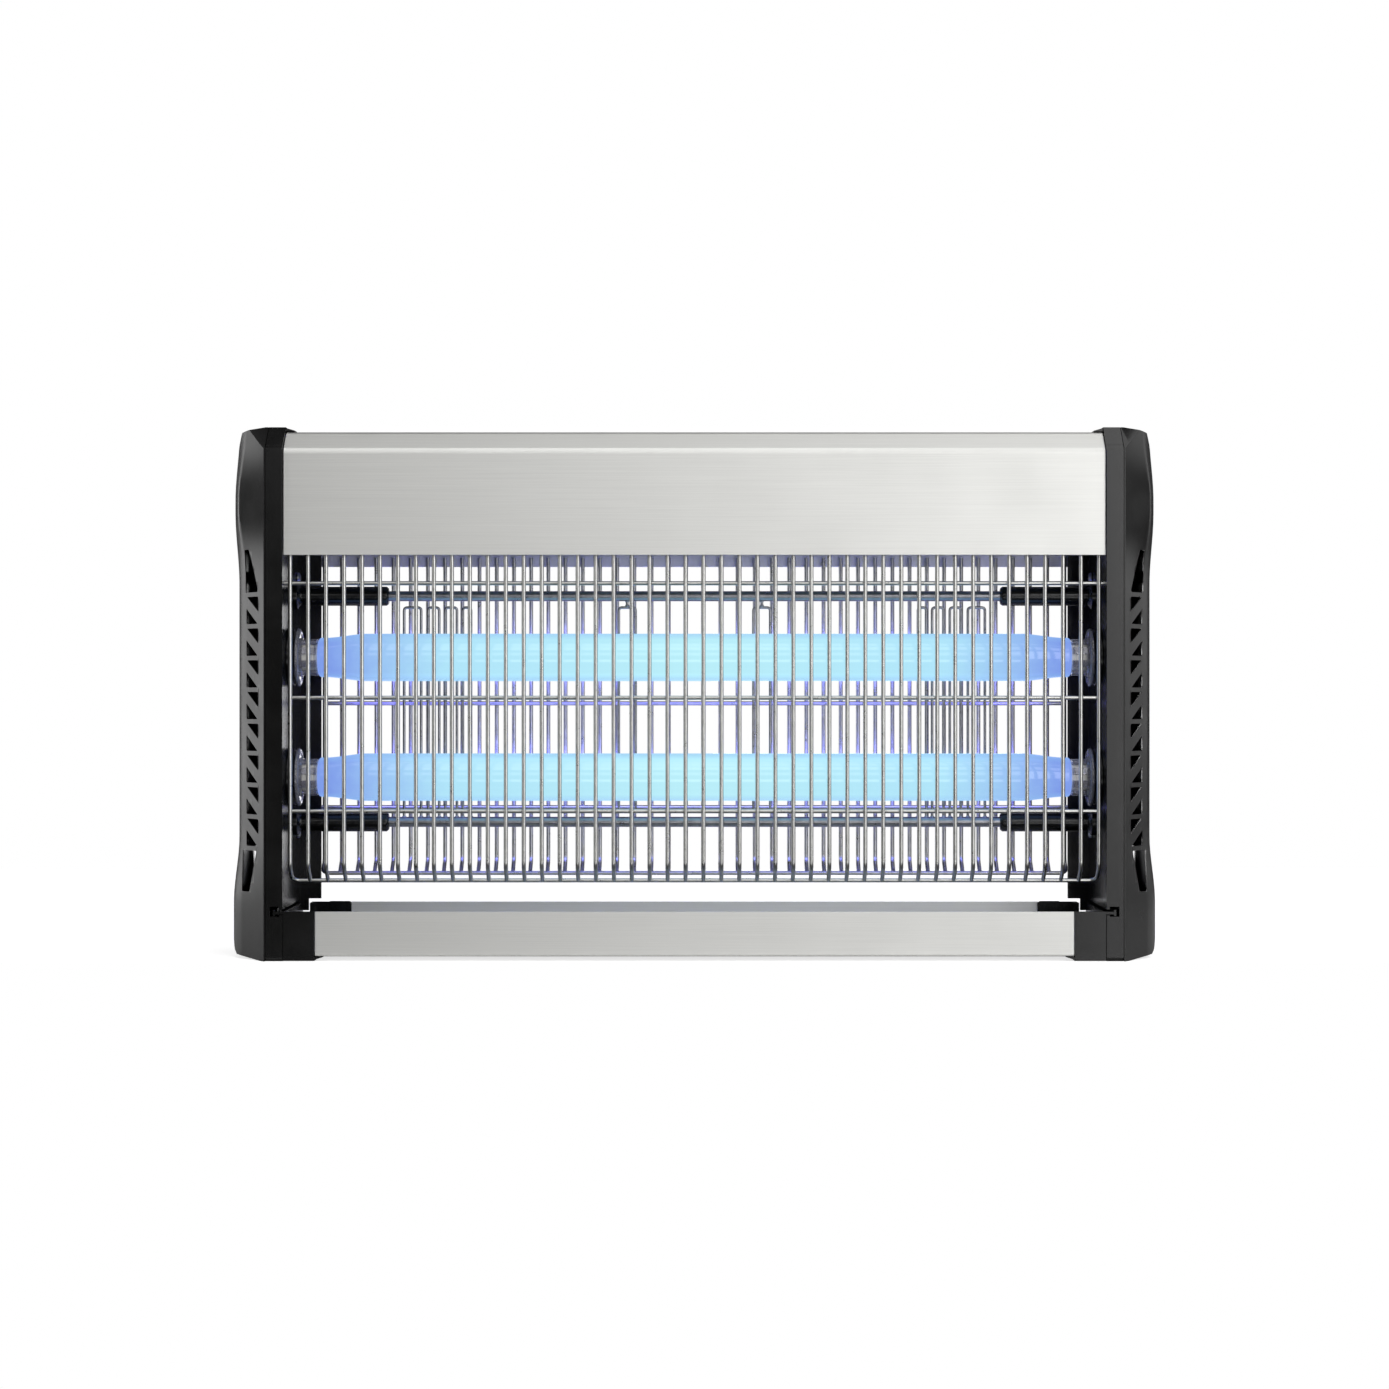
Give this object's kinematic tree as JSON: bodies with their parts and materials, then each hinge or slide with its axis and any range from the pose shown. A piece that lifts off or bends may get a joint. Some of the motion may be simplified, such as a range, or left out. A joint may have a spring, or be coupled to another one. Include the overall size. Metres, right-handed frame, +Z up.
{
  "type": "electric bug zapper",
  "caption": "Mains insect killer: two ultraviolet tubes and a high-voltage wire grid between moulded end frames, with a hinged wire guard and a slide-out tray.",
  "frame": {"origin": "on the floor, under the middle of the object", "axes": "+X along the lamps to the right as seen from the front, +Y to the rear, +Z up"},
  "size_m": [0.507, 0.09, 0.289],
  "materials": {
    "black_plastic": "satin black moulding",
    "cover_plastic": "fine-textured dark grey moulding",
    "aluminium": "satin anodised sheet",
    "steel_wire": "bright plated wire",
    "grid_wire": "plated wire and rod",
    "zinc_steel": "zinc plated",
    "lamp_glass": "coated lamp glass, lit",
    "white_ceramic": "glazed",
    "clear_plastic": "smoky clear moulding",
    "ballast_can": "white painted can",
    "transformer": "varnished core and winding"
  },
  "bodies": {
    "frame": {"ballast_lower_lamp": "ballast_can", "ballast_upper_lamp": "ballast_can", "chassis_plate": "zinc_steel", "cord_gland": "black_plastic", "cover_screw_left_1": "zinc_steel", "cover_screw_left_2": "zinc_steel", "cover_screw_right_1": "zinc_steel", "cover_screw_right_2": "zinc_steel", "end_cover_left": "cover_plastic", "end_cover_right": "cover_plastic", "end_frame_left": "black_plastic", "end_frame_right": "black_plastic", "frame_screw_left_1": "zinc_steel", "frame_screw_left_2": "zinc_steel", "frame_screw_right_1": "zinc_steel", "frame_screw_right_2": "zinc_steel", "hv_lower_electrode": "grid_wire", "hv_lower_sleeve_left": "black_plastic", "hv_lower_sleeve_right": "black_plastic", "hv_transformer": "transformer", "hv_upper_electrode": "grid_wire", "hv_upper_sleeve_left": "black_plastic", "hv_upper_sleeve_right": "black_plastic", "lamp_lower_holder_left": "black_plastic", "lamp_lower_holder_right": "black_plastic", "lamp_upper_holder_left": "black_plastic", "lamp_upper_holder_right": "black_plastic", "rear_guard": "steel_wire", "terminal_block": "white_ceramic", "top_housing": "aluminium"},
    "tray": {"tray_end_left": "black_plastic", "tray_end_right": "black_plastic", "tray_pan": "aluminium"},
    "guard": {"front_guard": "steel_wire"},
    "lamp_upper": {"lamp_upper_cap_left": "white_ceramic", "lamp_upper_cap_right": "white_ceramic", "lamp_upper_glass": "lamp_glass", "lamp_upper_lock_ring_left": "clear_plastic", "lamp_upper_lock_ring_right": "clear_plastic"},
    "lamp_lower": {"lamp_lower_cap_left": "white_ceramic", "lamp_lower_cap_right": "white_ceramic", "lamp_lower_glass": "lamp_glass", "lamp_lower_lock_ring_left": "clear_plastic", "lamp_lower_lock_ring_right": "clear_plastic"}
  },
  "joints": [
    {"name": "tray_slide", "type": "slide", "parent": "frame", "child": "tray", "axis": [0, -1, 0], "range_m": [0, 0.065]},
    {"name": "guard_hinge", "type": "hinge", "parent": "frame", "child": "guard", "pos_m": [0, -0.0361, 0.204], "axis": [-1, 0, 0], "range_deg": [0, 75]},
    {"name": "lamp_upper_turn", "type": "hinge", "parent": "frame", "child": "lamp_upper", "pos_m": [0, -0.015, 0.1641], "axis": [1, 0, 0], "range_deg": [0, 90]},
    {"name": "lamp_lower_turn", "type": "hinge", "parent": "frame", "child": "lamp_lower", "pos_m": [0, -0.015, 0.0985], "axis": [1, 0, 0], "range_deg": [0, 90]}
  ]
}
